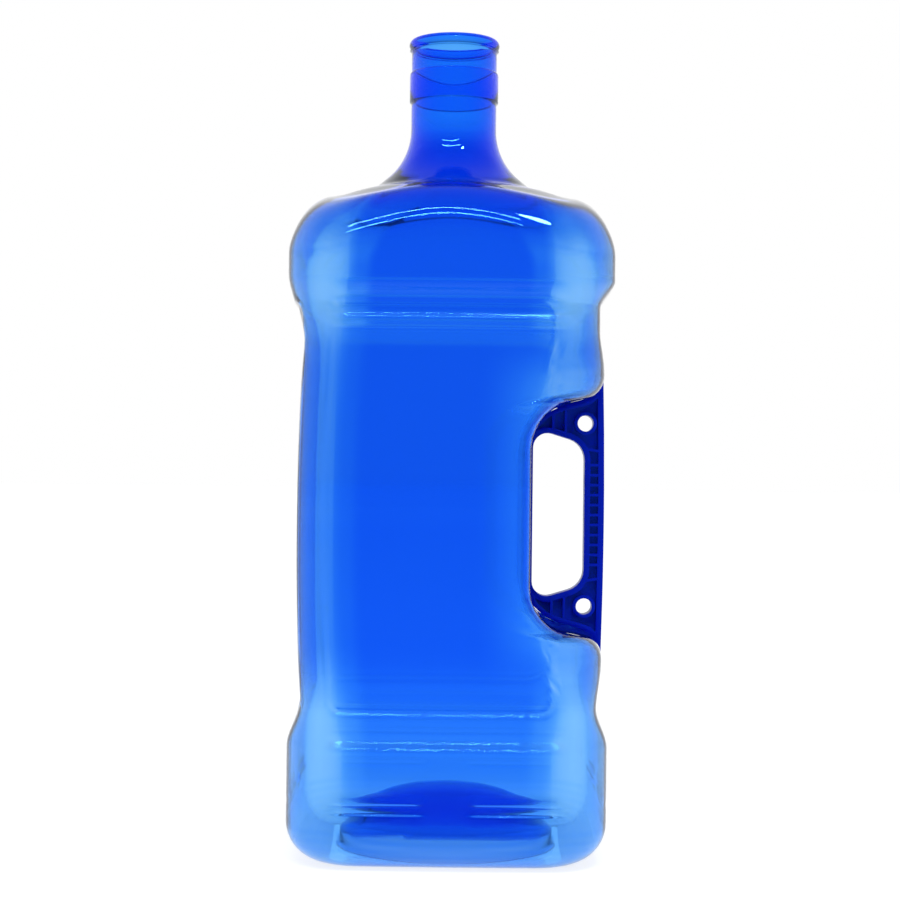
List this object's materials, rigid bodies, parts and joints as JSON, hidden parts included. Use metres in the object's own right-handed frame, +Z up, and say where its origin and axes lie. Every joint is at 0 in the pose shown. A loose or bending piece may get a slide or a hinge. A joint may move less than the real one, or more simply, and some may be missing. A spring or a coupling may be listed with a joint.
{
  "type": "water jug",
  "caption": "Square translucent blue water jug with a ringed neck, a domed base and a ribbed handle insert held in a notch in one side.",
  "frame": {"origin": "centre of the jug's footprint, on the surface that it stands on", "axes": "+Z up along the neck's axis, -Y the front face, +X the side with the handle"},
  "size_m": [0.192, 0.192, 0.489],
  "materials": {
    "bottle_plastic": "clear blue blow-moulded plastic, glossy",
    "handle_plastic": "opaque dark blue injection-moulded plastic, satin"
  },
  "bodies": {
    "root": {"bottle_shell": "bottle_plastic", "handle_insert": "handle_plastic"}
  },
  "joints": []
}
